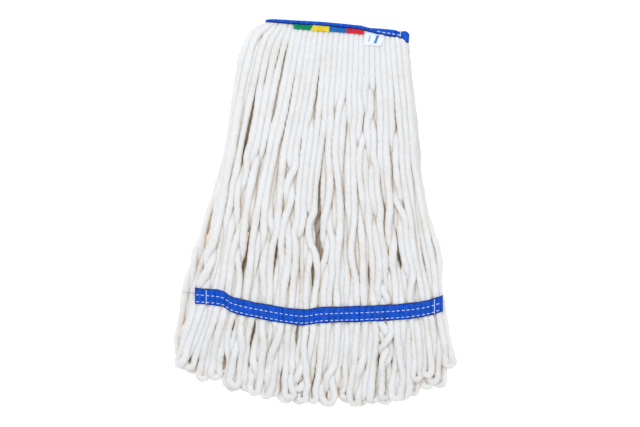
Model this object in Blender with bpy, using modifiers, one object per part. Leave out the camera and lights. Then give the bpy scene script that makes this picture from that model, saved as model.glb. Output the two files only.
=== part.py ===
"""Looped-end string mop head, laid flat and folded in half at its headband.

The origin is the middle of the headband's spine face. +X runs along the headband, +Y points out of
the spine, where the handle's jaw grips it, and +Z points up out of the layer of yarn on top.
"""
import math

import bmesh
import bpy
import numpy as np
from mathutils import Vector

MM = 0.001
GAP = 0.3 * MM

# Headband: one tape folded over the middle of the yarn, with a second tape inside it.
BAND_LEFT = -78 * MM
BAND_RIGHT = 79 * MM
BAND_HALF = 12.75 * MM
BAND_DEPTH = 6.0 * MM
BAND_CORNER = 3.75 * MM
TAPE = 1.1 * MM
CORNER_STEPS = 4
BIGHT_DEPTH = 2.8 * MM
INNER_TAPE_HALF = 9.0 * MM
BAND_SEAM_Y = -3.9 * MM
BAND_TACK_INSET = 5.0 * MM

# Folds: the two curtains turn where the yarn leaves the headband, the fringes under the tail bands.
FOLD_Y = -6.35 * MM
SPLIT_Y = -336.0 * MM
HINGE_Z = 13.7 * MM

# The layer of yarn in front of the fold, and the same behind it: low is its inner side.
LAYER_LOW = 0.2 * MM
LAYER_HIGH = 13.6 * MM
NECK_HIGH = 12.6 * MM
WAIST_LOW = 1.5 * MM
WAIST_HIGH = 10.9 * MM
NECK_END = -22 * MM
FULL_START = -45 * MM
FULL_END = -272 * MM
WAIST_START = -284 * MM
LOCK_GAP = 0.4 * MM
FRONT_LOCKS = 9
BACK_LOCKS = 6

# Outlines of the two layers: y, left x and right x.
FRONT_OUTLINE = (
    (-6.5 * MM, -79 * MM, 80 * MM),
    (-15 * MM, -102 * MM, 82 * MM),
    (-33 * MM, -109 * MM, 86 * MM),
    (-80 * MM, -112 * MM, 96 * MM),
    (-146 * MM, -111 * MM, 107 * MM),
    (-211 * MM, -119 * MM, 126 * MM),
    (-266 * MM, -125 * MM, 141 * MM),
    (-300 * MM, -130 * MM, 147 * MM),
    (-336 * MM, -134 * MM, 158 * MM),
    (-367 * MM, -140 * MM, 163 * MM),
    (-425 * MM, -143 * MM, 152 * MM),
)
BACK_SPREAD = 9 * MM
CURTAIN_STATIONS = (-6.5, -15, -22, -45, -80, -146, -211, -272, -284, -335.7)
FRINGE_START = -336.3 * MM
FRINGE_FULL = -350 * MM
FRINGE_WIDEST = -367 * MM
FRINGE_ROUND = 9 * MM
FRINGE_FRONT_Y = -425 * MM
FRINGE_CURVE = 1.36

# Tail bands: webbing across each layer, with a second tape on the layer's inner side.
TAIL_ROUTE = (
    (-129 * MM, -311 * MM),
    (-100 * MM, -311.5 * MM),
    (-86 * MM, -317.5 * MM),
    (-55 * MM, -321.7 * MM),
    (-12 * MM, -324.5 * MM),
    (12 * MM, -320 * MM),
    (57 * MM, -314.7 * MM),
    (100 * MM, -308.5 * MM),
    (126 * MM, -302.5 * MM),
    (143 * MM, -295.6 * MM),
)
TAIL_HALF = 8.8 * MM
TAIL_OUTER_Z = 11.2 * MM
TAIL_INNER_Z = 0.2 * MM
TAIL_TAPE = 1.0 * MM
TAIL_SEAMS = {"upper_seam": 1.2 * MM, "lower_seam": -6.2 * MM}
TAIL_TACKS = {"left_tack": 12.5 * MM, "right_tack": -10.0 * MM}
THREAD = 0.5 * MM

# Colour-coding tabs and the care label, sewn in under the headband's edge: left x, right x, end y.
TAB_TOP = 13.6 * MM
TAB_START = -6.4 * MM
TAB_THICKNESS = 0.7 * MM
TABS = (
    ("green_tab", -46 * MM, -26.1 * MM, -10 * MM, "tab_green"),
    ("yellow_tab", -25.8 * MM, -8.1 * MM, -10 * MM, "tab_yellow"),
    ("blue_tab", -7.8 * MM, 11.8 * MM, -9.5 * MM, "tab_blue"),
    ("red_tab", 12.1 * MM, 30 * MM, -9.5 * MM, "tab_red"),
    ("care_label", 32 * MM, 53 * MM, -21 * MM, "label_white"),
)

COLOURS = {
    "yarn": ((0.78, 0.77, 0.74), 0.95),
    "webbing_blue": ((0.015, 0.08, 0.52), 0.75),
    "thread_white": ((0.86, 0.87, 0.88), 0.7),
    "tab_green": ((0.03, 0.30, 0.12), 0.6),
    "tab_yellow": ((0.80, 0.55, 0.04), 0.6),
    "tab_blue": ((0.03, 0.17, 0.48), 0.6),
    "tab_red": ((0.62, 0.03, 0.04), 0.6),
    "label_white": ((0.84, 0.85, 0.87), 0.5),
}


def clear_scene():
    for obj in list(bpy.data.objects):
        bpy.data.objects.remove(obj, do_unlink=True)


def new_collection(name):
    collection = bpy.data.collections.new(name)
    bpy.context.scene.collection.children.link(collection)
    return collection


def new_material(name):
    colour, roughness = COLOURS[name]
    material = bpy.data.materials.new(name)
    material.use_nodes = True
    shader = material.node_tree.nodes["Principled BSDF"]
    shader.inputs["Base Color"].default_value = (*colour, 1.0)
    shader.inputs["Roughness"].default_value = roughness
    shader.inputs["Metallic"].default_value = 0.0
    return material


class Model:
    """The collection, the materials, and the empties that the moving pieces hang from."""

    def __init__(self):
        self.parts = new_collection("string_mop")
        self.materials = {name: new_material(name) for name in COLOURS}
        self.axes = {}

    def add_axis(self, name, y, z, parent=None):
        empty = bpy.data.objects.new(name + "_axis", None)
        empty.empty_display_size = 0.02
        self.parts.objects.link(empty)
        if parent:
            empty.parent = self.axes[parent]
            empty.location = Vector((0, y, z)) - self.axes[parent].matrix_world.translation
        else:
            empty.location = (0, y, z)
        bpy.context.view_layer.update()
        self.axes[name] = empty

    def add_piece(self, name, data, material, axis=None):
        obj = bpy.data.objects.new(name, data)
        self.parts.objects.link(obj)
        data.materials.append(self.materials[material])
        if axis:
            obj.parent = self.axes[axis]
            obj.matrix_parent_inverse = self.axes[axis].matrix_world.inverted()
        return obj


def mesh_from(bm, name):
    mesh = bpy.data.meshes.new(name)
    bm.to_mesh(mesh)
    bm.free()
    mesh.shade_smooth()
    mesh.set_sharp_from_angle(angle=math.radians(35))
    return mesh


def loft(name, sections):
    """A closed solid through rings of points with the same count."""
    bm = bmesh.new()
    rings = [[bm.verts.new(point) for point in section] for section in sections]
    for near, far in zip(rings, rings[1:]):
        for i in range(len(near)):
            j = (i + 1) % len(near)
            bm.faces.new((near[i], near[j], far[j], far[i]))
    bm.faces.new(list(reversed(rings[0])))
    bm.faces.new(rings[-1])
    bmesh.ops.recalc_face_normals(bm, faces=bm.faces)
    return mesh_from(bm, name)


def surface(name, rows):
    """An open sheet of quads through rows of points, for Solidify."""
    bm = bmesh.new()
    grid = [[bm.verts.new(point) for point in row] for row in rows]
    for near, far in zip(grid, grid[1:]):
        for i in range(len(near) - 1):
            bm.faces.new((near[i], near[i + 1], far[i + 1], far[i]))
    return mesh_from(bm, name)


def box(name, low, high):
    bm = bmesh.new()
    bmesh.ops.create_cube(bm, size=1.0)
    size = Vector(high) - Vector(low)
    bmesh.ops.scale(bm, vec=size, verts=bm.verts)
    bmesh.ops.translate(bm, vec=(Vector(high) + Vector(low)) / 2, verts=bm.verts)
    return mesh_from(bm, name)


def thread_curve(name, points):
    """A sewing thread: a thin round strand through the points, with filled ends."""
    curve = bpy.data.curves.new(name, "CURVE")
    curve.dimensions = "3D"
    curve.bevel_depth = THREAD / 2
    curve.bevel_resolution = 0
    curve.use_fill_caps = True
    spline = curve.splines.new("POLY")
    spline.points.add(len(points) - 1)
    for slot, point in zip(spline.points, points):
        slot.co = (*point, 1.0)
    return curve


def add_bevel(obj, width):
    bevel = obj.modifiers.new("soft_edges", "BEVEL")
    bevel.width = width
    bevel.segments = 1


def add_solidify(obj, thickness, offset):
    solid = obj.modifiers.new("tape_thickness", "SOLIDIFY")
    solid.thickness = thickness
    solid.offset = offset


# ---- headband ----


def band_profile():
    """Half round the fold: from the upper edge, round the spine, to the lower edge."""
    points = [(-BAND_DEPTH, BAND_HALF)]
    for side in (1, -1):
        turns = range(CORNER_STEPS + 1) if side > 0 else range(CORNER_STEPS, -1, -1)
        for step in turns:
            angle = math.pi / 2 * step / CORNER_STEPS
            y = -BAND_CORNER + BAND_CORNER * math.sin(angle)
            z = BAND_HALF - BAND_CORNER + BAND_CORNER * math.cos(angle)
            points.append((y, side * z))
    points.append((-BAND_DEPTH, -BAND_HALF))
    return points


def make_headband(model):
    rows = [[(x, y, z) for y, z in band_profile()] for x in (BAND_LEFT, BAND_RIGHT)]
    band = model.add_piece("headband", surface("headband", rows), "webbing_blue")
    add_solidify(band, TAPE, -1.0 if faces_out(band) else 1.0)


def faces_out(obj):
    """Whether the sheet's faces on the spine point along +Y."""
    spine = max(obj.data.polygons, key=lambda face: face.center.y)
    return spine.normal.y > 0


def make_band_filling(model):
    """The crushed middle of the yarn, and the tape sewn against it on the inside."""
    bight_top = -TAPE - GAP
    bight_low = bight_top - BIGHT_DEPTH
    half = BAND_HALF - TAPE - GAP
    inset = 1.5 * MM
    mesh = box("yarn_bight", (BAND_LEFT + inset, bight_low, -half), (BAND_RIGHT - inset, bight_top, half))
    bight = model.add_piece("yarn_bight", mesh, "yarn")
    add_bevel(bight, 2.6 * MM / 2)
    tape_top = bight_low - GAP
    mesh = box(
        "band_inner_tape",
        (BAND_LEFT + inset, tape_top - TAPE, -INNER_TAPE_HALF),
        (BAND_RIGHT - inset, tape_top, INNER_TAPE_HALF),
    )
    model.add_piece("band_inner_tape", mesh, "webbing_blue")


def make_band_stitching(model):
    height = BAND_HALF + GAP + THREAD / 2
    ends = (BAND_LEFT + 2 * MM, BAND_RIGHT - 2 * MM)
    for name, z in (("headband_upper_seam", height), ("headband_lower_seam", -height)):
        curve = thread_curve(name, [(x, BAND_SEAM_Y, z) for x in ends])
        model.add_piece(name, curve, "thread_white")
    for name, x in (
        ("headband_left_tack", BAND_LEFT + BAND_TACK_INSET),
        ("headband_right_tack", BAND_RIGHT - BAND_TACK_INSET),
    ):
        first = BAND_SEAM_Y - THREAD / 2 - GAP
        curve = thread_curve(name, [(x, first, height), (x, -BAND_DEPTH + GAP, height)])
        model.add_piece(name, curve, "thread_white")


# ---- yarn ----


def layer_edges(y, side):
    """Left and right x of a layer at y; the layer behind spreads further to the left."""
    ys = [row[0] for row in reversed(FRONT_OUTLINE)]
    left = np.interp(y, ys, [row[1] for row in reversed(FRONT_OUTLINE)])
    right = np.interp(y, ys, [row[2] for row in reversed(FRONT_OUTLINE)])
    if side < 0:
        left -= np.interp(y, [WAIST_START, FULL_START], [BACK_SPREAD, 0])
    return float(left), float(right)


def curtain_heights(y):
    """Inner and outer height of a layer at y, thinner at the neck and between the tail tapes."""
    low = np.interp(y, [WAIST_START, FULL_END], [WAIST_LOW, LAYER_LOW])
    stops = [WAIST_START, FULL_END, FULL_START, NECK_END]
    high = np.interp(y, stops, [WAIST_HIGH, LAYER_HIGH, LAYER_HIGH, NECK_HIGH])
    return float(low), float(high)


def lock_section(y, left, right, low, high):
    """A flat hexagon-like ring: the squashed outline of six strands lying side by side."""
    cut = 0.22 * min(right - left, high - low)
    return [
        (left, y, low + cut),
        (left + cut, y, low),
        (right - cut, y, low),
        (right, y, low + cut),
        (right, y, high - cut),
        (right - cut, y, high),
        (left + cut, y, high),
        (left, y, high - cut),
    ]


def lock_span(y, side, index, count):
    left, right = layer_edges(y, side)
    width = (right - left) / count
    return left + index * width + LOCK_GAP / 2, left + (index + 1) * width - LOCK_GAP / 2


def flip(section, side):
    return [(x, y, side * z) for x, y, z in section]


def make_curtain_lock(model, side, index, count):
    sections = []
    for station in CURTAIN_STATIONS:
        y = station * MM
        left, right = lock_span(y, side, index, count)
        sections.append(flip(lock_section(y, left, right, *curtain_heights(y)), side))
    word = "front" if side > 0 else "back"
    name = f"{word}_lock_{index + 1}"
    model.add_piece(name, loft(name, sections), "yarn", word + "_curtain")


def make_fringe_lock(model, side, index, count):
    """The loops below the tail band: thin where they leave it, rounded at their ends."""
    middle = sum(lock_span(FRINGE_FRONT_Y, side, index, count)) / 2
    end = FRINGE_FRONT_Y + FRINGE_CURVE * middle**2
    stations = (
        (FRINGE_START, WAIST_LOW, WAIST_HIGH, 0.0),
        (FRINGE_FULL, LAYER_LOW, LAYER_HIGH, 0.0),
        (FRINGE_WIDEST, LAYER_LOW, LAYER_HIGH, 0.0),
        (end + FRINGE_ROUND, LAYER_LOW, LAYER_HIGH, 0.02),
        (end + FRINGE_ROUND / 3, LAYER_LOW + MM, LAYER_HIGH - MM, 0.1),
        (end, LAYER_LOW + 3 * MM, LAYER_HIGH - 3 * MM, 0.22),
    )
    sections = []
    for y, low, high, narrow in stations:
        left, right = lock_span(y, side, index, count)
        trim = (right - left) * narrow
        sections.append(flip(lock_section(y, left + trim, right - trim, low, high), side))
    word = "front" if side > 0 else "back"
    name = f"{word}_loops_{index + 1}"
    model.add_piece(name, loft(name, sections), "yarn", word + "_fringe")


# ---- tail bands ----


def route_point(index):
    return Vector((*TAIL_ROUTE[index], 0))


def route_normal(index):
    before = route_point(max(index - 1, 0))
    after = route_point(min(index + 1, len(TAIL_ROUTE) - 1))
    along = (after - before).normalized()
    return Vector((-along.y, along.x, 0))


def route_line(offset, z):
    """The tail band's line, moved sideways by offset, at height z."""
    line = []
    for index in range(len(TAIL_ROUTE)):
        point = route_point(index) + route_normal(index) * offset
        line.append((point.x, point.y, z))
    return line


def tail_tape(name, side, z_low):
    """A flat tape of constant width along the route, from z_low up by its thickness."""
    sections = []
    edge_a = route_line(TAIL_HALF, 0)
    edge_b = route_line(-TAIL_HALF, 0)
    for a, b in zip(edge_a, edge_b):
        heights = (side * z_low, side * (z_low + TAIL_TAPE))
        sections.append(
            [(*a[:2], heights[0]), (*b[:2], heights[0]), (*b[:2], heights[1]), (*a[:2], heights[1])]
        )
    return loft(name, sections)


def across_point(from_end, offset, z):
    """A point on the band a distance in from its left end, or from its right end if negative."""
    start = 0 if from_end > 0 else len(TAIL_ROUTE) - 1
    step = 1 if from_end > 0 else -1
    along = (route_point(start + step) - route_point(start)).normalized()
    point = route_point(start) + along * abs(from_end) + route_normal(start) * offset
    return (point.x, point.y, z)


def make_tail_band(model, side):
    word = "front" if side > 0 else "back"
    body = word + "_curtain"
    for layer, z in (("outer_tape", TAIL_OUTER_Z), ("inner_tape", TAIL_INNER_Z)):
        name = f"{word}_tail_{layer}"
        model.add_piece(name, tail_tape(name, side, z), "webbing_blue", body)
    height = side * (TAIL_OUTER_Z + TAIL_TAPE + GAP + THREAD / 2)
    for seam, offset in TAIL_SEAMS.items():
        name = f"{word}_tail_{seam}"
        model.add_piece(name, thread_curve(name, route_line(offset, height)), "thread_white", body)
    room = THREAD / 2 + GAP
    top = TAIL_SEAMS["upper_seam"] - room
    low = TAIL_SEAMS["lower_seam"] + room
    for tack, inset in TAIL_TACKS.items():
        name = f"{word}_tail_{tack}"
        points = [across_point(inset, top, height), across_point(inset, low, height)]
        model.add_piece(name, thread_curve(name, points), "thread_white", body)


def make_tabs(model):
    for name, left, right, end, colour in TABS:
        mesh = box(name, (left, end, TAB_TOP - TAB_THICKNESS), (right, TAB_START, TAB_TOP))
        model.add_piece(name, mesh, colour, name)


def make_axes(model):
    model.add_axis("front_curtain", FOLD_Y, HINGE_Z)
    model.add_axis("back_curtain", FOLD_Y, -HINGE_Z)
    model.add_axis("front_fringe", SPLIT_Y, HINGE_Z, "front_curtain")
    model.add_axis("back_fringe", SPLIT_Y, -HINGE_Z, "back_curtain")
    for tab in TABS:
        model.add_axis(tab[0], FOLD_Y, HINGE_Z, "front_curtain")


def main():
    clear_scene()
    model = Model()
    make_axes(model)
    make_headband(model)
    make_band_filling(model)
    make_band_stitching(model)
    for side, count in ((1, FRONT_LOCKS), (-1, BACK_LOCKS)):
        for index in range(count):
            make_curtain_lock(model, side, index, count)
            make_fringe_lock(model, side, index, count)
        make_tail_band(model, side)
    make_tabs(model)


main()
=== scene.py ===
"""The looks of a looped-end string mop head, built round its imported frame.

Every strand of yarn is laid out by a small position-based relaxation (stretch, bend, contact), then
skinned as a plied tube. The tapes, stitches, tabs and label are laid over the strands they hold.
"""
import math

import bmesh
import bpy
import numpy as np
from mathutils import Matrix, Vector, kdtree


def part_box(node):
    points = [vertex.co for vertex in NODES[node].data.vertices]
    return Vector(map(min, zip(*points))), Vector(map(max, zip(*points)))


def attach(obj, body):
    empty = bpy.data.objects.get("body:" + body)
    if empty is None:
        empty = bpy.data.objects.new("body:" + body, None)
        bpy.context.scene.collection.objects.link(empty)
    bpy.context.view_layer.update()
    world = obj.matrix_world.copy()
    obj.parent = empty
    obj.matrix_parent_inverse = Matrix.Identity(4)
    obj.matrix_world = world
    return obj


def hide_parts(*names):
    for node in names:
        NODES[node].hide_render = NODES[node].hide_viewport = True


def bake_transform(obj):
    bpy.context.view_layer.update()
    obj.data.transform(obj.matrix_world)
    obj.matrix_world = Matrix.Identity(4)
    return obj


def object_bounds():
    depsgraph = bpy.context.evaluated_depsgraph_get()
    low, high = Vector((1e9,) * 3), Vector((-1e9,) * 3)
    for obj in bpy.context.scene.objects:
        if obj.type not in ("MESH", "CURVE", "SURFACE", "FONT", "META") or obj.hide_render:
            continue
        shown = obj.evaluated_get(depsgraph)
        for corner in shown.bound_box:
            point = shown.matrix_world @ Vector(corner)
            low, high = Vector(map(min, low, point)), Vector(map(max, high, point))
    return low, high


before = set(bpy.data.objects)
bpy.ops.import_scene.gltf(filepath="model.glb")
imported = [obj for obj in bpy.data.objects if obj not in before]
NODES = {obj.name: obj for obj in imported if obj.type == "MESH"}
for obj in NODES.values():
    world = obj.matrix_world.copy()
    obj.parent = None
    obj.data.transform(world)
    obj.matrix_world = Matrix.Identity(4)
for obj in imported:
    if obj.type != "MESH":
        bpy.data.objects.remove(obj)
cad_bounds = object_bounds()

MM = 0.001
BODIES = {1: ("front_curtain", "front_fringe"), -1: ("back_curtain", "back_fringe")}
SIDE_NAME = {1: "front", -1: "back"}

# ---- sizes of the yarn ----

STRANDS = 54
LOOPS = STRANDS // 2
STRAND_RADIUS = 4.0 * MM
SOFT_CONTACT = 0.80
NODE_STEP = 4.0 * MM
RING_STEP = 2.0 * MM
RING_POINTS = 16
PLIES = 4
PLY_PITCH = 34 * MM
PLY_DEPTH = 0.13
RELAX_STEPS = 260
NEIGHBOURS_EVERY = 10


def rng_for(seed):
    return np.random.default_rng(seed)


def node_points(name):
    obj = NODES[name]
    points = np.empty(len(obj.data.vertices) * 3)
    obj.data.vertices.foreach_get("co", points)
    points = points.reshape(-1, 3)
    matrix = np.array(obj.matrix_world)
    return points @ matrix[:3, :3].T + matrix[:3, 3]


def names_like(prefix):
    return sorted(name for name in NODES if name.startswith(prefix))


# ---- the frame's outlines ----

FULL_ROW = 140 * MM
ROW_TOLERANCE = 0.06 * MM
FACE_TOLERANCE = 0.1 * MM

# The back layer stands out on the left of the front one, by BULGE at the heights BULGE_AT.
BULGE_AT = (-0.40, -0.36, -0.31, -0.25, -0.18)
BULGE = (0.0, 5.0 * MM, 9.0 * MM, 5.0 * MM, 0.0)


class Layer:
    """One layer of yarn, read from its CAD locks: outline, heights, and the tail band's line."""

    def __init__(self, side):
        self.side = side
        word = SIDE_NAME[side]
        self.locks = names_like(word + "_lock_")
        self.loops = names_like(word + "_loops_")
        points = np.vstack([node_points(name) for name in self.locks + self.loops])
        self.ys = np.unique(np.round(points[:, 1], 4))
        lefts, rights = [], []
        for y in self.ys:
            row = points[np.abs(points[:, 1] - y) < ROW_TOLERANCE]
            lefts.append(row[:, 0].min())
            rights.append(row[:, 0].max())
        lefts, rights = np.array(lefts), np.array(rights)
        keep = rights - lefts > FULL_ROW
        self.ys, self.lefts, self.rights = self.ys[keep], lefts[keep], rights[keep]
        self.fold_y = self.ys.max()
        heights = np.abs(points[:, 2])
        self.low, self.high = heights.min(), heights.max()
        fringe = [node_points(name) for name in self.loops]
        self.split_y = max(part[:, 1].max() for part in fringe)
        ends = sorted((part[:, 0].mean(), part[:, 1].min()) for part in fringe)
        self.end_x = np.array([end[0] for end in ends])
        self.end_y = np.array([end[1] for end in ends])
        self.read_tail(word + "_tail_outer_tape")

    def read_tail(self, name):
        points = node_points(name)
        heights = np.abs(points[:, 2])
        outer = points[heights > heights.max() - FACE_TOLERANCE][:, :2]
        outer = np.unique(np.round(outer, 5), axis=0)
        pairs = outer[np.argsort(outer[:, 0])].reshape(-1, 2, 2)
        self.tail_route = pairs.mean(axis=1)
        self.tail_half = float(np.linalg.norm(pairs[:, 0] - pairs[:, 1], axis=1).mean() / 2)
        self.tail_low = float(heights.min())

    def edges(self, y):
        """The middles of the outermost strands at a height."""
        left = np.interp(y, self.ys, self.lefts) + STRAND_RADIUS
        if self.side < 0:
            left = left - np.interp(y, BULGE_AT, BULGE)
        right = np.interp(y, self.ys, self.rights) - STRAND_RADIUS
        return left, right

    def tail_y(self, x):
        return np.interp(x, self.tail_route[:, 0], self.tail_route[:, 1])

    def loop_end(self, x):
        fit = np.polyfit(self.end_x, self.end_y, 2)
        return np.polyval(fit, x)


def waves(rng, y, amplitude, lengths):
    """Smooth noise along y: a few sines with random phases."""
    total = np.zeros_like(y)
    for length in lengths:
        total += rng.normal() * np.sin(2 * math.pi * y / length + rng.uniform(0, 2 * math.pi))
    return amplitude * total / math.sqrt(len(lengths))


# ---- laying out the strands ----

BAND_START_Y = -2.6 * MM
FAN_END_Y = -0.2
FLARE_SHARE = 0.07

# Heights of a loop's two strands, where they leave the headband and where they have opened out.
NECK_ROWS = (8.2 * MM, 3.1 * MM)
OPEN_ROWS = (9.8 * MM, 4.1 * MM)
OPEN_Y = -24 * MM
NECK_SQUEEZE = 0.80
NECK_JITTER = 0.9 * MM
JITTER_AT = (-60 * MM, -20 * MM)

# Locks: how strongly strands draw together, along y.
CLUMP_COUNT = 15
CLUMP_AT = (-0.34, -0.27, -0.16, -0.06)
CLUMP_STRENGTH = (0.3, 1.0, 0.75, 0.0)
CLUMP_EDGE = 9

# Partings between locks: place across the layer, top and bottom y, and how far each side draws back.
PARTING_SHARE = 0.05
PARTING_FADE = 0.3
PARTINGS = (
    (0.074, -0.03, -0.27, 3.6 * MM),
    (0.49, -0.14, -0.285, 3.4 * MM),
    (0.66, -0.18, -0.275, 2.6 * MM),
    (0.83, -0.18, -0.29, 3.2 * MM),
    (0.074, -0.345, -0.40, 3.0 * MM),
    (0.215, -0.345, -0.39, 2.6 * MM),
)

# Waves: sideways by WAVE times the looseness along y, and up and down by SWING.
LOOSE_AT = (-0.43, -0.35, -0.31, -0.27, -0.21, -0.12, -0.03)
LOOSENESS = (1.1, 0.9, 0.1, 0.95, 0.6, 0.22, 0.0)
WAVE = 5.4 * MM
WAVE_LENGTHS = (0.31, 0.17, 0.09)
SWING = 3.0 * MM
SWING_LENGTHS = (0.21, 0.13)
SETTLE_AT = (-0.12, -0.03)
SETTLE_SHARE = 0.45

# The tail band flattens the strands to one height, with a small step between the two of a loop.
TAIL_GRIP = 14 * MM
TAIL_HEIGHT = 6.2 * MM
TAIL_STEP = 1.6 * MM


def clump(rng_values, u, y):
    """Draws strands together into locks below the middle of the head, leaving gaps between locks."""
    phases, depths = rng_values
    strength = np.interp(y, CLUMP_AT, CLUMP_STRENGTH)
    shift = np.zeros_like(y)
    for index, (phase, depth) in enumerate(zip(phases, depths)):
        cycles = CLUMP_COUNT * (0.6 + 0.25 * index)
        shift -= depth * np.sin(2 * math.pi * (cycles * u + phase)) / (2 * math.pi * cycles)
    return shift * strength * min(1.0, CLUMP_EDGE * u * (1 - u))


def parted(u, y):
    """How far strands draw aside, left and right of the open partings between locks."""
    shift = np.zeros_like(y)
    for at, top, bottom, width in PARTINGS:
        fade = PARTING_FADE * (top - bottom)
        window = np.interp(y, [bottom, bottom + fade, top - fade, top], [0.0, 1.0, 1.0, 0.0])
        shift += math.copysign(width, u - at) * math.exp(-abs(u - at) / PARTING_SHARE) * window
    return shift


def fan_x(layer, place, y):
    """Where a strand at a share of the width runs: straight down a fan, and flared at its left edge."""
    left, right = layer.edges(y)
    ends = [layer.edges(FAN_END_Y)[0], layer.edges(layer.fold_y)[0]]
    fan = np.where(y > FAN_END_Y, np.interp(y, [FAN_END_Y, layer.fold_y], ends), left)
    return fan + (right - fan) * place + (left - fan) * np.exp(-place / FLARE_SHARE)


def strand_path(layer, rng, clumps, u, row, end_y):
    """One strand's first guess, from inside the headband down to just above its loop's end."""
    y = np.arange(BAND_START_Y, end_y, -NODE_STEP)
    x = fan_x(layer, u + clump(clumps, u, y), y)
    x += waves(rng, y, WAVE, WAVE_LENGTHS) * np.interp(y, LOOSE_AT, LOOSENESS)
    if layer.side > 0:
        x += parted(u, y)
    x += rng.normal(0, NECK_JITTER) * np.interp(y, JITTER_AT, [0.0, 1.0])
    opened = OPEN_ROWS[row] + rng.normal(0, NECK_JITTER)
    neck = np.interp(y, [OPEN_Y, layer.fold_y], [opened, NECK_ROWS[row]])
    middle = (layer.low + layer.high) / 2
    swing = waves(rng, y, SWING, SWING_LENGTHS)
    settle = np.interp(y, SETTLE_AT, [1.0, 0.0])
    z = neck + settle * (SETTLE_SHARE * (middle - neck) + swing)
    tail = np.exp(-(((y - layer.tail_y(x)) / TAIL_GRIP) ** 2))
    z = z * (1 - tail) + tail * (TAIL_HEIGHT + TAIL_STEP * (1 - 2 * row))
    return np.stack([x, y, z], axis=1)


# Loops at the lower ends. Widths, drops (mean and spread, or range) and leans are in mm.
PAIR_OFFSETS = (-0.2, 0.25)
LOOP_ROW_Y = -0.40
LOOP_WIDTHS = (6.5, 14.0)
LOOP_DROP = (-3, 3)
LONG_SHARE = 0.3
LONG_DROP = (6, 24)
DROP_LIMITS = (-6 * MM, 26 * MM)
LEAN = 5
LEAN_LIMIT = 10
CORNER_LOOPS = 3
CORNER_LEAN = 6 * MM
LOOP_PULL = 0.85
LOOP_PULL_CURVE = 1.5


def loop_chain(layer, rng, clumps, index):
    """Two strands joined by a round loop at their lower ends."""
    u = (index + 0.5) / LOOPS
    offsets = [offset / LOOPS for offset in PAIR_OFFSETS]
    if rng.random() < 0.5:
        offsets = offsets[::-1]
    left, right = layer.edges(LOOP_ROW_Y)
    x_end = left + (right - left) * u
    width = rng.uniform(*LOOP_WIDTHS) * MM
    drop = rng.normal(*LOOP_DROP) * MM
    if rng.random() < LONG_SHARE:
        drop += rng.uniform(*LONG_DROP) * MM
    end_y = layer.loop_end(x_end) + np.clip(drop, *DROP_LIMITS) + STRAND_RADIUS
    lean = np.clip(rng.normal(0, LEAN), -LEAN_LIMIT, LEAN_LIMIT) * MM
    if index < CORNER_LOOPS and layer.side > 0:
        lean -= (CORNER_LOOPS - index) * CORNER_LEAN
    down = strand_path(layer, rng, clumps, u + offsets[0], 0, end_y + width / 2)
    up = strand_path(layer, rng, clumps, u + offsets[1], 1, end_y + width / 2)
    sign = 1.0 if offsets[0] < offsets[1] else -1.0
    for path, way in ((down, -sign), (up, sign)):
        pull = np.interp(path[:, 1], [end_y + width / 2, layer.split_y], [1.0, 0.0])
        target = x_end + lean + way * width / 2
        path[:, 0] += (target - path[:, 0]) * pull**LOOP_PULL_CURVE * LOOP_PULL
    turn = np.linspace(0, math.pi, max(4, int(math.pi * width / 2 / NODE_STEP)))[1:-1]
    centre = (down[-1] + up[-1]) / 2
    half = (up[-1] - down[-1]) / 2
    arc = centre - half * np.cos(turn)[:, None]
    arc[:, 1] -= width / 2 * np.sin(turn)
    chain = np.vstack([down, arc, up[::-1]])
    return resample(chain, NODE_STEP)


def lengths_along(points):
    """The length run from the first point to each one."""
    return np.concatenate([[0], np.cumsum(np.linalg.norm(np.diff(points, axis=0), axis=1))])


def resample(points, step):
    lengths = lengths_along(points)
    count = max(8, int(round(lengths[-1] / step)))
    along = np.linspace(0, lengths[-1], count + 1)
    return np.stack([np.interp(along, lengths, points[:, axis]) for axis in range(3)], axis=1)


def contact_pairs(points, chain_ids, order, reach):
    """Pairs of nodes near each other: on different chains, or far apart along one."""
    tree = kdtree.KDTree(len(points))
    for index, point in enumerate(points):
        tree.insert(point, index)
    tree.balance()
    first, second = [], []
    for index, point in enumerate(points):
        for _, other, _ in tree.find_range(point, reach):
            if other > index:
                first.append(index)
                second.append(other)
    first, second = np.array(first), np.array(second)
    apart = (chain_ids[first] != chain_ids[second]) | (np.abs(order[first] - order[second]) > OWN_REACH)
    return first[apart], second[apart]


# Relaxation: shares of each correction made at every step, and the room that strands have.
OWN_REACH = 4
SEARCH_MARGIN = 1.35
CONTACT_PUSH = 0.28
BEND_PULL = 0.22
FOLD_LEAST = 8.6 * MM
FOLD_PUSH = 0.2
HOLD_PULL = 0.25
STRETCH_PULL = 0.5
STRETCH_ROUNDS = 2
TINY = 1e-9
GUIDE_AT = (-0.43, -0.36, -0.30, -0.05)
GUIDE = (0.004, 0.01, 0.02, 0.03)
GUIDE_AXES = (1, 0.3, 0.15)
PIN_DEPTH = 1.0 * MM
BLOOM = (10 * MM, 30 * MM)
LOW_SHARES = (0.95, 1.0)
BAND_PRESS = 0.85
ROOF_SHARE = {1: 0.8, -1: 0.98}
FALL_AT = (-0.36, -0.34)
FALL = (0.05 * MM, 0.02 * MM)
DROOP_AT = (-0.40, -0.35)
DROOP = {1: 9.0 * MM, -1: 0.0}


def height_limits(layer, points, tail_gap, still):
    """The lowest and highest that each point's middle may lie, as heights in the layer."""
    y = points[:, 1]
    low = layer.low + STRAND_RADIUS * np.interp(tail_gap, BLOOM, LOW_SHARES)
    roof = layer.high - ROOF_SHARE[layer.side] * STRAND_RADIUS
    high = np.interp(tail_gap, BLOOM, (layer.tail_low - BAND_PRESS * STRAND_RADIUS, roof))
    low -= np.interp(y, DROOP_AT, (DROOP[layer.side], 0.0))
    return np.where(still, points[:, 2], low), np.where(still, points[:, 2], high)


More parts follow.
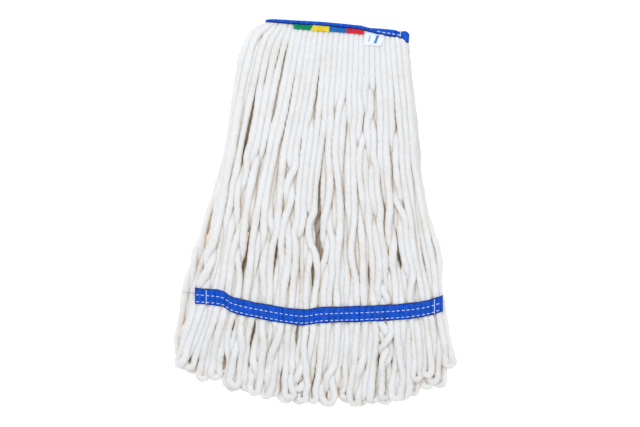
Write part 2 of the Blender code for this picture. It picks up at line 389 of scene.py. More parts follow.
def push_apart(points, first, second, least, share, free):
    """Moves pairs of points that are nearer than least away from each other, by a share of the gap."""
    gap = points[second] - points[first]
    size = np.linalg.norm(gap, axis=1) + TINY
    push = np.clip(least - size, 0, None) / size * share
    move = gap * push[:, None]
    for axis in range(3):
        points[:, axis] -= np.bincount(first, move[:, axis], len(points)) * free
        points[:, axis] += np.bincount(second, move[:, axis], len(points)) * free


def restore_lengths(points, links, rest, free):
    """Brings each link back towards its own length."""
    gap = points[links + 1] - points[links]
    size = np.linalg.norm(gap, axis=1) + TINY
    move = gap * ((size - rest[links]) / size * STRETCH_PULL)[:, None]
    points[links] += move * free[links, None]
    points[links + 1] -= move * free[links + 1, None]


def relax(layer, chains, beneath):
    """Position-based relaxation of every chain of a layer at once, lying on the chains beneath."""
    own = len(chains)
    chains = chains + beneath
    points = np.vstack(chains)
    counts = [len(chain) for chain in chains]
    chain_ids = np.repeat(np.arange(len(chains)), counts)
    order = np.concatenate([np.arange(count) for count in counts])
    rest = np.concatenate([np.linalg.norm(np.diff(c, axis=0), axis=1).tolist() + [0.0] for c in chains])
    still = chain_ids >= own
    same = np.append(chain_ids[1:] == chain_ids[:-1], False) & ~still
    home = points.copy()
    pinned = still | (points[:, 1] > layer.fold_y - PIN_DEPTH)
    free = np.where(pinned, 0.0, 1.0)
    tail_gap = np.abs(points[:, 1] - layer.tail_y(points[:, 0]))
    held = tail_gap < layer.tail_half
    guide = np.interp(points[:, 1], GUIDE_AT, GUIDE)
    fall = -layer.side * np.interp(points[:, 1], FALL_AT, FALL)
    low, high = height_limits(layer, points, tail_gap, still)
    links = [np.flatnonzero(same & (np.arange(len(points)) % 2 == parity)) for parity in (0, 1)]
    inner = np.flatnonzero(same[:-1] & same[1:]) + 1
    thirds = np.flatnonzero(same[:-3] & same[1:-2] & same[2:-1])
    contact = 2 * STRAND_RADIUS * SOFT_CONTACT
    for step in range(RELAX_STEPS):
        if step % NEIGHBOURS_EVERY == 0:
            near_a, near_b = contact_pairs(points, chain_ids, order, contact * SEARCH_MARGIN)
            moving = ~(still[near_a] & still[near_b])
            near_a, near_b = near_a[moving], near_b[moving]
        points[:, 2] += fall * free
        points += ((home - points) * guide[:, None]) * free[:, None] * np.array(GUIDE_AXES)
        push_apart(points, near_a, near_b, contact, CONTACT_PUSH, free)
        middle = (points[inner - 1] + points[inner + 1]) / 2
        points[inner] += (middle - points[inner]) * (BEND_PULL * free[inner])[:, None]
        push_apart(points, thirds, thirds + 3, FOLD_LEAST, FOLD_PUSH, free)
        points[held] += (home[held] - points[held]) * HOLD_PULL
        for links_now in links * STRETCH_ROUNDS:
            restore_lengths(points, links_now, rest, free)
        points[:, 2] = np.clip(points[:, 2], low, high)
    return np.split(points, np.cumsum(counts)[:-1])[:own]


LAYOUT_SEEDS = {1: 11, -1: 23}
CLUMP_DEPTHS = (0.5, 0.95)


def lay_out(layer, beneath=()):
    """The relaxed curves of one layer's loops."""
    rng = rng_for(LAYOUT_SEEDS[layer.side])
    clumps = (rng.uniform(0, 1, 3), rng.uniform(*CLUMP_DEPTHS, 3))
    chains = [loop_chain(layer, rng, clumps, index) for index in range(LOOPS)]
    return relax(layer, chains, [chain * np.array([1, 1, -1]) for chain in beneath])


# ---- skinning ----

# How the yarn is pressed: thinner near the headband, flatter under the tail band (in half widths of it).
NECK_Y = -16 * MM
PRESS_AT = (0.7, 1.5)
PRESSED_FLAT = 1.14

# How the thickness and the flatness change along a strand, and how deep the plies are cut.
THICK_WAVE = 0.06
THICK_LENGTHS = (0.11, 0.05, 0.021)
THICK_SPREAD = 0.06
FLAT_WAVE = 0.13
FLAT_LENGTHS = (0.12, 0.05)
LOBE_CURVE = 0.6
CAP_U = 0.5

YARN_SEED = 301


def smooth_curve(points, step):
    """A Catmull-Rom curve through the points, sampled about every step."""
    padded = np.vstack([2 * points[0] - points[1], points, 2 * points[-1] - points[-2]])
    lengths = lengths_along(points)
    count = max(4, int(round(lengths[-1] / step)))
    along = np.linspace(0, lengths[-1], count + 1)
    segment = np.clip(np.searchsorted(lengths, along, side="right") - 1, 0, len(points) - 2)
    t = ((along - lengths[segment]) / (lengths[segment + 1] - lengths[segment]))[:, None]
    a, b, c, d = (padded[segment + i] for i in range(4))
    square = 2 * a - 5 * b + 4 * c - d
    cube = 3 * b - 3 * c + d - a
    return 0.5 * (2 * b + (c - a) * t + square * t**2 + cube * t**3)


def squeeze(layer, points):
    """How the yarn is pressed at each point: its thickness factor and its flatness factor."""
    thick = np.interp(points[:, 1], [NECK_Y, layer.fold_y], [1.0, NECK_SQUEEZE])
    gap = np.abs(points[:, 1] - layer.tail_y(points[:, 0])) / layer.tail_half
    flat = np.interp(gap, PRESS_AT, [PRESSED_FLAT, 1.0])
    return thick, flat


def crossways(points):
    """Two unit directions square to a curve at each point: level, and upwards."""
    tangent = np.gradient(points, axis=0)
    tangent /= np.linalg.norm(tangent, axis=1)[:, None]
    side = np.cross(tangent, [0, 0, 1.0])
    side /= np.linalg.norm(side, axis=1)[:, None] + TINY
    return side, np.cross(side, tangent)


def ring_angles(count):
    return np.arange(count) / count * 2 * math.pi


def tube(points, radius, rng, pressed):
    """Rings of a plied yarn along a curve: positions and a length for each ring."""
    side, up = crossways(points)
    length = lengths_along(points)
    wave = waves(rng, length, THICK_WAVE, THICK_LENGTHS)
    thick = pressed[0] * (1 + wave + rng.normal(0, THICK_SPREAD))
    flat = pressed[1] * (1 + np.abs(waves(rng, length, FLAT_WAVE, FLAT_LENGTHS)))
    ply = ring_angles(RING_POINTS)
    lobe = 1 - PLY_DEPTH + PLY_DEPTH * np.abs(np.cos(PLIES / 2 * ply)) ** LOBE_CURVE
    turn = 2 * math.pi * length / PLY_PITCH + rng.uniform(0, 2 * math.pi)
    angle = ply[None, :] + turn[:, None]
    reach = radius * thick[:, None] * lobe[None, :]
    across = (np.cos(angle) * reach * flat[:, None])[:, :, None] * side[:, None, :]
    lift = (np.sin(angle) * reach / flat[:, None])[:, :, None] * up[:, None, :]
    return points[:, None, :] + across + lift, length


def tube_faces(base, count, sides):
    """The faces of a tube of rings that starts at vertex base: its sides, then its two flat ends."""
    faces = []
    for row in range(count - 1):
        a = base + row * sides
        for k in range(sides):
            j = (k + 1) % sides
            faces.append((a + k, a + j, a + sides + j, a + sides + k))
    last = base + (count - 1) * sides
    faces.append(tuple(base + k for k in reversed(range(sides))))
    faces.append(tuple(last + k for k in range(sides)))
    return faces


def new_object(name, data):
    obj = bpy.data.objects.new(name, data)
    bpy.context.scene.collection.objects.link(obj)
    return obj


def tubes_mesh(name, tubes):
    """One mesh from many tubes, with closed ends and a UV map of ply angle and length."""
    verts, faces, uvs = [], [], []
    base = 0
    n = RING_POINTS
    for rings, length in tubes:
        count = len(rings)
        verts.append(rings.reshape(-1, 3))
        faces.extend(tube_faces(base, count, n))
        for v0, v1 in zip(length, length[1:]):
            for k in range(n):
                u0, u1 = k / n, (k + 1) / n
                uvs.extend(((u0, v0), (u1, v0), (u1, v1), (u0, v1)))
        for v in (length[0], length[-1]):
            uvs.extend([(CAP_U, v)] * n)
        base += count * n
    mesh = bpy.data.meshes.new(name)
    mesh.from_pydata(np.vstack(verts).tolist(), [], faces)
    layer = mesh.uv_layers.new(name="yarn")
    layer.data.foreach_set("uv", np.array(uvs).ravel())
    mesh.polygons.foreach_set("use_smooth", [len(face) == 4 for face in faces])
    return new_object(name, mesh)


def skin_chain(layer, chain, rng):
    """A chain's rings, cut at the tail band's middle line into upper strand, loop and upper strand."""
    curve = smooth_curve(chain, RING_STEP)
    below = curve[:, 1] < layer.tail_y(curve[:, 0])
    first = int(np.argmax(below))
    last = len(below) - int(np.argmax(below[::-1]))
    rings, length = tube(curve * np.array([1, 1, layer.side]), STRAND_RADIUS, rng, squeeze(layer, curve))
    if layer.side < 0:
        rings = rings[:, ::-1]
    cuts = (slice(0, first + 1), slice(first, last + 1), slice(last, None))
    return [(rings[cut], length[cut]) for cut in cuts]


def make_yarn(layer, chains, material):
    """Groups strands into the CAD's locks and loops, and skins them."""
    side, word = layer.side, SIDE_NAME[layer.side]
    rng = rng_for(YARN_SEED + side)
    uppers = [[] for _ in layer.locks]
    lowers = [[] for _ in layer.loops]
    for index, chain in enumerate(chains):
        group = index * len(layer.locks) // LOOPS
        down, loop, up = skin_chain(layer, chain, rng)
        uppers[group].extend((down, up))
        lowers[group].append(loop)
    for group, node in enumerate(layer.locks):
        piece = yarn_piece(f"{word}_yarn_{group + 1}", uppers[group], material, node)
        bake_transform(piece)
    for group, node in enumerate(layer.loops):
        piece = yarn_piece(f"{word}_loop_yarn_{group + 1}", lowers[group], material, node)
        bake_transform(piece)


def yarn_piece(name, tubes, material, node):
    piece = tubes_mesh(name, tubes)
    piece.data.materials.append(material)
    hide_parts(node)
    return piece


# ---- materials ----


def new_material(name, colour, roughness):
    material = bpy.data.materials.new(name)
    material.use_nodes = True
    shader = material.node_tree.nodes["Principled BSDF"]
    shader.inputs["Base Color"].default_value = (*colour, 1)
    shader.inputs["Roughness"].default_value = roughness
    return material, material.node_tree, shader


class Nodes:
    """Short calls for building a node tree."""

    def __init__(self, tree):
        self.tree = tree

    def add(self, kind, **values):
        node = self.tree.nodes.new(kind)
        for key, value in values.items():
            setattr(node, key, value)
        return node

    def link(self, source, target):
        self.tree.links.new(source, target)

    def math(self, operation, first, second=None):
        node = self.add("ShaderNodeMath", operation=operation)
        for slot, value in ((0, first), (1, second)):
            if value is None:
                continue
            if isinstance(value, (int, float)):
                node.inputs[slot].default_value = value
            else:
                self.link(value, node.inputs[slot])
        return node.outputs[0]

    def vector(self, x, y, z):
        node = self.add("ShaderNodeCombineXYZ")
        for slot, value in zip(node.inputs, (x, y, z)):
            if isinstance(value, (int, float)):
                slot.default_value = value
            else:
                self.link(value, slot)
        return node.outputs[0]

    def total(self, *parts):
        """The sum of some values, added in order."""
        result = parts[0]
        for part in parts[1:]:
            result = self.math("ADD", result, part)
        return result

    def near(self, value, centre):
        return self.math("ABSOLUTE", self.math("SUBTRACT", value, centre))

    def uv(self, name):
        """The two parts of a UV map."""
        uv = self.add("ShaderNodeUVMap", uv_map=name)
        split = self.add("ShaderNodeSeparateXYZ")
        self.link(uv.outputs["UV"], split.inputs[0])
        return split.outputs["X"], split.outputs["Y"]

    def place(self):
        return self.add("ShaderNodeTexCoord").outputs["Object"]

    def noise(self, vector, scale, detail=3.0, roughness=0.55):
        node = self.add("ShaderNodeTexNoise")
        node.inputs["Scale"].default_value = scale
        node.inputs["Detail"].default_value = detail
        node.inputs["Roughness"].default_value = roughness
        self.link(vector, node.inputs["Vector"])
        return node.outputs["Fac"]

    def ramp(self, factor, stops):
        node = self.add("ShaderNodeValToRGB")
        elements = node.color_ramp.elements
        while len(elements) < len(stops):
            elements.new(0.5)
        for element, (place, colour) in zip(elements, stops):
            element.position = place
            element.color = (*colour, 1)
        self.link(factor, node.inputs["Fac"])
        return node.outputs["Color"]

    def bump(self, height, shader, strength, distance):
        node = self.add("ShaderNodeBump")
        node.inputs["Strength"].default_value = strength
        node.inputs["Distance"].default_value = distance
        self.link(height, node.inputs["Height"])
        self.link(node.outputs["Normal"], shader.inputs["Normal"])


# Yarn: tones from darker to lighter, set by noise, and the painted warm shade put into deep gaps.
YARN_TONES = ((0.30, (0.80, 0.74, 0.64)), (0.5, (0.87, 0.83, 0.74)), (0.7, (0.90, 0.87, 0.80)))
PAINTED_GAP_SHADE_TINT = (1.0, 0.82, 0.56, 1)
PAINTED_GAP_SHADE_STOPS = ((0.06, (1, 1, 1)), (0.34, (0, 0, 0)))
PAINTED_GAP_SHADE_REACH = 22 * MM
FIBRE_STRETCH = 0.16
FIBRE_SCALE = 1500
FIBRE_SHARE = 0.45
PATCH_SCALE = 45
PATCH_SHARE = 0.55


def yarn_material():
    """Soft twisted cotton: fibres along each ply, slow changes of tone, and painted warm, darker shade
    in deep gaps.
    """
    material, tree, shader = new_material("yarn_cotton", (0.84, 0.82, 0.77), 0.96)
    shader.inputs["Sheen Weight"].default_value = 0.2
    shader.inputs["Sheen Roughness"].default_value = 0.6
    shader.inputs["Specular IOR Level"].default_value = 0.15
    shader.inputs["Subsurface Weight"].default_value = 0.3
    shader.inputs["Subsurface Radius"].default_value = (1.0, 0.92, 0.8)
    shader.inputs["Subsurface Scale"].default_value = 4 * MM
    nodes = Nodes(tree)
    u, v = nodes.uv("yarn")
    turn = nodes.math("MULTIPLY", u, 2 * math.pi)
    ring_x = nodes.math("MULTIPLY", nodes.math("COSINE", turn), STRAND_RADIUS)
    ring_y = nodes.math("MULTIPLY", nodes.math("SINE", turn), STRAND_RADIUS)
    along = nodes.math("MULTIPLY", v, FIBRE_STRETCH)
    fibres = nodes.noise(nodes.vector(ring_x, ring_y, along), FIBRE_SCALE, 4, 0.65)
    patches = nodes.noise(nodes.place(), PATCH_SCALE, 3)
    fine = nodes.math("MULTIPLY", fibres, FIBRE_SHARE)
    tone = nodes.math("ADD", fine, nodes.math("MULTIPLY", patches, PATCH_SHARE))
    colour = nodes.ramp(tone, YARN_TONES)
    # Painted shade: where ambient occlusion is low, the colour is multiplied by a warm tan tint.
    gap_occlusion = nodes.add("ShaderNodeAmbientOcclusion", samples=6)
    gap_occlusion.inputs["Distance"].default_value = PAINTED_GAP_SHADE_REACH
    painted_gap_shade = nodes.ramp(gap_occlusion.outputs["AO"], PAINTED_GAP_SHADE_STOPS)
    mix = nodes.add("ShaderNodeMix", data_type="RGBA", blend_type="MULTIPLY")
    nodes.link(painted_gap_shade, mix.inputs["Factor"])
    nodes.link(colour, mix.inputs["A"])
    mix.inputs["B"].default_value = PAINTED_GAP_SHADE_TINT
    nodes.link(mix.outputs["Result"], shader.inputs["Base Color"])
    nodes.bump(fibres, shader, 0.6, 0.5 * MM)
    return material


# Woven tape: how wide the painted shade along its edges is, the shares of tone that each pattern takes,
# and the lightest and darkest ends of the ramp.
PAINTED_EDGE_SHADE_WIDTH = 1.3 * MM
PICK_LENGTH = 0.75
PICK_SCALE = 0.62
WEAR_SCALE = 170
WEAVE_SHARE = 0.08
WEAR_SHARE = 0.3
LINE_SHARE = 0.06
PICK_SHARE = 0.56
LIGHTEN = 1.5
LIGHTEN_BY = 0.01
TAPE_STOPS = (0.36, 0.5, 0.64)


def webbing_material(name, colour, dark, rib, edges, edge_shade_depth=0.3):
    """Woven tape: fine warp lines along it and picks across it, over the ribs in the mesh, with painted
    shade darkening it towards the edges it is given.
    """
    material, tree, shader = new_material(name, colour, 0.72)
    shader.inputs["Specular IOR Level"].default_value = 0.12
    nodes = Nodes(tree)
    u, v = nodes.uv("tape")
    along = nodes.math("SINE", nodes.math("MULTIPLY", u, 2 * math.pi / rib))
    across = nodes.math("SINE", nodes.math("MULTIPLY", v, 2 * math.pi / (PICK_LENGTH * rib)))
    weave = nodes.math("MULTIPLY", nodes.math("ADD", nodes.math("MULTIPLY", along, across), 1.0), 0.5)
    wear = nodes.noise(nodes.place(), WEAR_SCALE, 4)
    picks = nodes.noise(nodes.vector(u, 0.0, 0.0), PICK_SCALE / rib, 3)
    line = nodes.math("MULTIPLY", nodes.math("ADD", along, 1.0), LINE_SHARE)
    woven = nodes.math("MULTIPLY", weave, WEAVE_SHARE)
    worn = nodes.math("MULTIPLY", wear, WEAR_SHARE)
    tone = nodes.total(woven, worn, line, nodes.math("MULTIPLY", picks, PICK_SHARE))
    # Painted shade: the tone darkens towards each given edge of the tape's map.
    for edge in edges:
        rim = nodes.math("SUBTRACT", 1.0, nodes.math("DIVIDE", nodes.near(v, edge), PAINTED_EDGE_SHADE_WIDTH))
        depth = nodes.math("MULTIPLY", nodes.math("MAXIMUM", rim, 0.0), edge_shade_depth)
        tone = nodes.math("SUBTRACT", tone, depth)
    light = tuple(min(1.0, value * LIGHTEN + LIGHTEN_BY) for value in colour)
    shade = nodes.ramp(tone, tuple(zip(TAPE_STOPS, (dark, colour, light))))
    nodes.link(shade, shader.inputs["Base Color"])
    nodes.bump(weave, shader, 0.5, 0.15 * MM)
    return material


THREAD_TONES = ((0.3, (0.66, 0.74, 0.88)), (0.6, (0.85, 0.89, 0.95)))
TWIST_SCALE = 2600


def thread_material():
    """Sewing thread with a fine twist."""
    material, tree, shader = new_material("sewing_thread", (0.80, 0.86, 0.95), 0.6)
    shader.inputs["Sheen Weight"].default_value = 0.2
    nodes = Nodes(tree)
    twist = nodes.noise(nodes.place(), TWIST_SCALE, 2)
    nodes.link(nodes.ramp(twist, THREAD_TONES), shader.inputs["Base Color"])
    nodes.bump(twist, shader, 0.4, 0.1 * MM)
    return material


# The label's bars: x, half width, y, half length, in its own map.
LABEL_WHITE = (0.86, 0.88, 0.91)
LABEL_BLUE = (0.05, 0.20, 0.55)
LABEL_WEAVE = 0.45 * MM
LABEL_BARS = ((45.2 * MM, 1.5 * MM, 0.0, 4.6 * MM), (37.4 * MM, 0.45 * MM, 0.2 * MM, 3.4 * MM))


def label_material():
    """White satin with two plain printed bars."""
    material, tree, shader = new_material("care_label_satin", LABEL_WHITE, 0.5)
    nodes = Nodes(tree)
    u, v = nodes.uv("tape")
    weave = nodes.math("SINE", nodes.math("MULTIPLY", v, 2 * math.pi / LABEL_WEAVE))
    bars = None
    for x, half, y, reach in LABEL_BARS:
        inside_x = nodes.math("LESS_THAN", nodes.near(u, x), half)
        inside_y = nodes.math("LESS_THAN", nodes.near(v, y), reach)
        bar = nodes.math("MULTIPLY", inside_x, inside_y)
        bars = bar if bars is None else nodes.math("MAXIMUM", bars, bar)
    colour = nodes.ramp(bars, ((0.0, LABEL_WHITE), (1.0, LABEL_BLUE)))
    nodes.link(colour, shader.inputs["Base Color"])
    nodes.bump(weave, shader, 0.25, 0.08 * MM)
    return material


# ---- tapes ----

TAIL_TAPE = 0.9 * MM
TAIL_ACROSS = (-0.087, 0.996)
RIB = 2.1 * MM
RIB_HEIGHT = 0.34 * MM
SEAM_OFFSETS = {"upper_seam": 1.2 * MM, "lower_seam": -6.3 * MM}
TACK_INSETS = {"left_tack": 12.5 * MM, "right_tack": 10.0 * MM}
STITCH = 4.7 * MM
STITCH_GAP = 0.9 * MM
THREAD_RADIUS = 0.40 * MM
SHARP_ANGLE = math.radians(50)


def slab(name, top, bottom, uvs, material):
    """A closed sheet between two grids of points."""
    rows, cols = top.shape[:2]
    verts = np.vstack([top.reshape(-1, 3), bottom.reshape(-1, 3)])
    count = rows * cols
    faces, marks = [], []

    def quad(a, b, c, d, shift=0):
        faces.append(tuple(r * cols + k + shift for r, k in (a, b, c, d)))
        marks.extend(uvs[r, k] for r, k in (a, b, c, d))

    for r in range(rows - 1):
        for k in range(cols - 1):
            ring = ((r, k), (r + 1, k), (r + 1, k + 1), (r, k + 1))
            quad(*ring)
            quad(*reversed(ring), shift=count)
    edge = [(r, 0) for r in range(rows)] + [(rows - 1, k) for k in range(1, cols)]
    edge += [(r, cols - 1) for r in range(rows - 2, -1, -1)] + [(0, k) for k in range(cols - 2, 0, -1)]
    for (r0, k0), (r1, k1) in zip(edge, edge[1:] + edge[:1]):
        a, b = r0 * cols + k0, r1 * cols + k1
        faces.append((b, a, a + count, b + count))
        marks.extend((uvs[r1, k1], uvs[r0, k0], uvs[r0, k0], uvs[r1, k1]))
    mesh = bpy.data.meshes.new(name)
    mesh.from_pydata(verts.tolist(), [], faces)
    layer = mesh.uv_layers.new(name="tape")
    layer.data.foreach_set("uv", np.array(marks).ravel())
    bm = bmesh.new()
    bm.from_mesh(mesh)
    bmesh.ops.recalc_face_normals(bm, faces=bm.faces)
    bm.to_mesh(mesh)
    bm.free()
    mesh.shade_smooth()
    mesh.set_sharp_from_angle(angle=SHARP_ANGLE)
    mesh.materials.append(material)
    return new_object(name, mesh)


TOPS_STEP = 2 * MM
TOPS_REACH = 6 * MM
TOPS_BATCH = 400


class Tops:
    """The upper surface of a layer's strands, asked for at any x and y."""

    def __init__(self, chains):
        self.points = np.vstack([smooth_curve(chain, TOPS_STEP) for chain in chains])

    def height(self, x, y, floor):
        near = self.points
        near = near[(near[:, 1] > y.min() - TOPS_REACH) & (near[:, 1] < y.max() + TOPS_REACH)]
        result = np.empty(x.size)
        flat_x, flat_y = x.ravel(), y.ravel()
        for start in range(0, x.size, TOPS_BATCH):
            part = slice(start, start + TOPS_BATCH)
            gap = np.hypot(flat_x[part, None] - near[None, :, 0], flat_y[part, None] - near[None, :, 1])
            rise = near[None, :, 2] + np.sqrt(np.clip(STRAND_RADIUS**2 - gap**2, 0, None))
            result[part] = np.where(gap < STRAND_RADIUS, rise, floor).max(axis=1)
        return result.reshape(x.shape)


def blur(grid, axis, width):
    """A smooth running mean along one axis, with the ends held."""
    reach = np.arange(-3 * width, 3 * width + 1)
    weights = np.exp(-0.5 * (reach / width) ** 2)
    weights /= weights.sum()
    padding = [(0, 0), (0, 0)]
    padding[axis] = (3 * width, 3 * width)
    padded = np.pad(grid, padding, mode="edge")
    return np.apply_along_axis(lambda line: np.convolve(line, weights, mode="valid"), axis, padded)


TAIL_GRID = 0.36 * MM


class TailLine:
    """The tail band's middle line: places along it, and directions across it."""

    def __init__(self, layer):
        route = np.column_stack([layer.tail_route, np.zeros(len(layer.tail_route))])
        self.line = smooth_curve(route, TAIL_GRID)[:, :2]
        self.along = lengths_along(self.line)
        self.length = self.along[-1]
        self.across = np.tile(TAIL_ACROSS, (len(self.line), 1))

    def grid(self, offsets):
        return self.line[:, None, :] + self.across[:, None, :] * offsets[None, :, None]

    def index(self, along):
        return np.clip(np.searchsorted(self.along, along), 0, len(self.along) - 1)


# The outer tape's surface: its grid, how it lies on the strands, its seams' dips and its ribs' fade.
TAIL_COLUMNS = 25
COARSE = 8
EDGE_WAVE = 0.25 * MM
EDGE_LENGTHS = (0.031, 0.012)
TOPS_FLOOR = 2 * MM
TAIL_LEAST = 0.4 * MM
TAIL_CLEARANCE = 0.35 * MM
DIP_DEPTH = 0.45 * MM
DIP_WIDTH = 1.3 * MM
RIB_FADE = 6
RIB_LEAST = 0.35
EDGE_DROOP = 0.5 * MM
EDGE_DROOP_CURVE = 6


def tail_surface(layer, tops, tail, rng):
    """The outer tape's top surface: it lies on the strands, dips at the seams, and carries ribs."""
    offsets = np.linspace(-1, 1, TAIL_COLUMNS)
    half = layer.tail_half
    edge_wave = waves(rng, tail.along, EDGE_WAVE, EDGE_LENGTHS)
    plan = tail.grid(offsets * half)
    plan += tail.across[:, None, :] * (edge_wave[:, None] * offsets[None, :])[:, :, None]
    coarse = plan[::COARSE]
    height = tops.height(coarse[:, :, 0], coarse[:, :, 1], layer.tail_low - TOPS_FLOOR)
    height = np.clip(height, layer.tail_low - TAIL_LEAST, None)
    height = blur(blur(height, 0, 1), 1, 2) + TAIL_CLEARANCE
    height = blur(spread_rows(height, len(plan), COARSE), 0, 4)
    dip = np.zeros_like(height)
    for offset in SEAM_OFFSETS.values():
        dip -= DIP_DEPTH * np.exp(-(((offsets * half - offset) / DIP_WIDTH) ** 2))[None, :]
    ribs = RIB_HEIGHT * np.abs(np.sin(math.pi * tail.along / RIB))
    fade = np.clip((1 - np.abs(offsets)) * RIB_FADE, RIB_LEAST, 1)
    droop = -EDGE_DROOP * np.abs(offsets) ** EDGE_DROOP_CURVE
    crease = creases(rng, tail.along, offsets)
    surface = height + TAIL_TAPE + dip + crease + ribs[:, None] * fade[None, :] + droop[None, :]
    return plan, surface, offsets


def spread_rows(grid, count, step):
    """A grid with every row filled in, from one that holds each step-th row."""
    rows = np.arange(count)
    columns = [np.interp(rows, rows[::step], grid[:, k]) for k in range(grid.shape[1])]
    return np.stack(columns, axis=1)


# Creases, in mm: how wide they are, how far they slant across the tape, and how deep or high.
CREASES = 26
CREASE_WIDTHS = (1.6, 4.5)
CREASE_SLANTS = (-5, 5)
CREASE_DEPTHS = (-0.55, 0.45)


def creases(rng, along, offsets):
    """Slanting wrinkles where the tape is drawn in by its stitches."""
    total = np.zeros((len(along), len(offsets)))
    for _ in range(CREASES):
        place = rng.uniform(0, along[-1])
        width = rng.uniform(*CREASE_WIDTHS) * MM
        slant = rng.uniform(*CREASE_SLANTS) * MM
        depth = rng.uniform(*CREASE_DEPTHS) * MM
        centre = place + slant * offsets
        total += depth * np.exp(-(((along[:, None] - centre[None, :]) / width) ** 2))
    return total


# The tail band's stitches. A bar tack is a short row across the tape, with overlapping stitches.
TAIL_SEED = 71
INNER_FOLLOW = 0.08
SEAM_START = 0.7 * MM
TACK_START = 0.1 * MM
TACK_SPAN = 0.96
TACK_POINTS = 60
TACK_RISE = 0.12 * MM
TACK_STITCH = (3.2 * MM, -0.5 * MM, 0.34 * MM)


def make_tail_band(layer, chains, materials):
    rng = rng_for(TAIL_SEED + layer.side)
    tail = TailLine(layer)
    plan, surface, offsets = tail_surface(layer, Tops(chains), tail, rng)
    make_tail_tapes(layer, tail, plan, surface, offsets, materials["webbing"])
    make_tail_stitches(layer, tail, plan, surface, offsets, rng, materials["thread"])


def make_tail_tapes(layer, tail, plan, surface, offsets, material):
    """The outer tape on the strands, and the inner one below them."""
    side, word = layer.side, SIDE_NAME[layer.side]
    uvs = np.empty(plan.shape)
    uvs[:, :, 0] = tail.along[:, None]
    uvs[:, :, 1] = offsets[None, :] * layer.tail_half
    inside = np.full(surface.shape, layer.low + TAIL_TAPE) + (surface - surface.mean()) * INNER_FOLLOW
    for name, node, upper in (("webbing", "outer_tape", surface), ("backing", "inner_tape", inside)):
        top = np.dstack([plan, side * upper])
        bottom = np.dstack([plan, side * (upper - TAIL_TAPE)])
        tape = slab(f"{word}_tail_{name}", top, bottom, uvs, material)
        finish(tape, BODIES[side][0], f"{word}_tail_{node}")


def make_tail_stitches(layer, tail, plan, surface, offsets, rng, material):
    """Two seams along the outer tape, and a bar tack across it near each end."""
    rows = []
    for seam, offset in SEAM_OFFSETS.items():
        column = surface[:, int(np.argmin(np.abs(offsets * layer.tail_half - offset)))]
        path = np.column_stack([tail.line + tail.across * offset, column])
        rows.append((seam, stitch_row(path, tail.along, rng, SEAM_START)))
    for tack, inset in TACK_INSETS.items():
        at = tail.index(inset if tack.startswith("left") else tail.length - inset)
        span = np.linspace(-TACK_SPAN, TACK_SPAN, TACK_POINTS)
        plan_x, plan_y = (np.interp(span, offsets, plan[at][:, k]) for k in (0, 1))
        path = np.column_stack([plan_x, plan_y, np.interp(span, offsets, surface[at]) + TACK_RISE])
        along = np.linspace(0, 1, TACK_POINTS) * 2 * layer.tail_half
        rows.append((tack, stitch_row(path, along, rng, TACK_START, *TACK_STITCH)))
    side, word = layer.side, SIDE_NAME[layer.side]
    for name, stitches in rows:
        row = strands_mesh(f"{word}_tail_{name}_stitches", stitches, side, material)
        finish(row, BODIES[side][0], f"{word}_tail_{name}")


def finish(piece, body, node):
    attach(piece, body)
    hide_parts(node)


# One stitch: how its length and the gap after it vary, how sharply it dips at its ends, and how deep.
STITCH_SPREAD = (0.9, 1.06)
GAP_SPREAD = (0.8, 1.2)
STITCH_POINTS = 9
STITCH_LIFT = 0.10 * MM
STITCH_CURVE = 0.45
STITCH_DIP = 3.2
STITCH_THIN = 0.72
THREAD_SIDES = 8


def stitch_row(path, along, rng, start, stitch=STITCH, gap=STITCH_GAP, lift=STITCH_LIFT):
    """Separate stitches along a path: each rises out of its hole and goes down into the next."""
    rows = []
    place = start
    q = np.linspace(0, 1, STITCH_POINTS)
    arch = np.sin(math.pi * q) ** STITCH_CURVE
    while place + stitch < along[-1]:
        at = place + q * (stitch * rng.uniform(*STITCH_SPREAD))
        points = np.stack([np.interp(at, along, path[:, k]) for k in range(3)], axis=1)
        points[:, 2] += lift - (1 - arch) * STITCH_DIP * THREAD_RADIUS
        rows.append((points, THREAD_RADIUS * (STITCH_THIN + (1 - STITCH_THIN) * arch)))
        place += stitch + gap * rng.uniform(*GAP_SPREAD)
    return rows


def strands_mesh(name, rows, side, material):
    """One mesh of short round strands, each a path and its radii, mirrored for the back layer."""
    verts, faces = [], []
    base = 0
    turn = ring_angles(THREAD_SIDES)[None, :, None]
    for points, radius in rows:
        across, up = crossways(points)
        ring = np.cos(turn) * across[:, None, :] + np.sin(turn) * up[:, None, :]
        rings = points[:, None, :] + ring * radius[:, None, None]
        rings[:, :, 2] *= side
        verts.append(rings.reshape(-1, 3))
        skin = tube_faces(base, len(points), THREAD_SIDES)
        faces.extend(skin if side > 0 else [face[::-1] for face in skin])
        base += len(points) * THREAD_SIDES
    mesh = bpy.data.meshes.new(name)
    mesh.from_pydata(np.vstack(verts).tolist(), [], faces)
    mesh.shade_smooth()
    mesh.materials.append(material)
    return new_object(name, mesh)


# ---- headband ----

# The band's edges and spine along x, in mm. The front and the spine are read off the photo.
FLANGE_X = (-78, -70, -64, -50, -20, 0, 20, 28, 36, 45, 55, 66, 71, 74, 78, 81)
FLANGE_FRONT = (
    *(-4.6, -4.7, -4.9, -4.8, -3.7, -3.7, -4.0, -4.3),
    *(-5.8, -7.4, -8.7, -9.3, -9.6, -11.4, -14.3, -14.0),
)
FLANGE_BACK = (
    *(-5.0, -6.6, -7.2, -7.0, -6.6, -6.8, -7.0, -7.1),
    *(-7.2, -7.4, -7.4, -7.4, -7.2, -7.2, -7.0, -7.6),
)
SPINE_X = (-78, -74, -68, -50, -20, 0, 27, 36, 50, 64, 70, 72, 76, 79, 81)
SPINE_Y = (-2.4, -1.4, -0.7, -0.2, 0.8, 0.9, 0.5, -1.2, -0.9, -1.1, -2.2, -1.9, -0.9, -2.2, -5.2)
EAR_REACH = 1.8 * MM
CORNER = 3.6 * MM
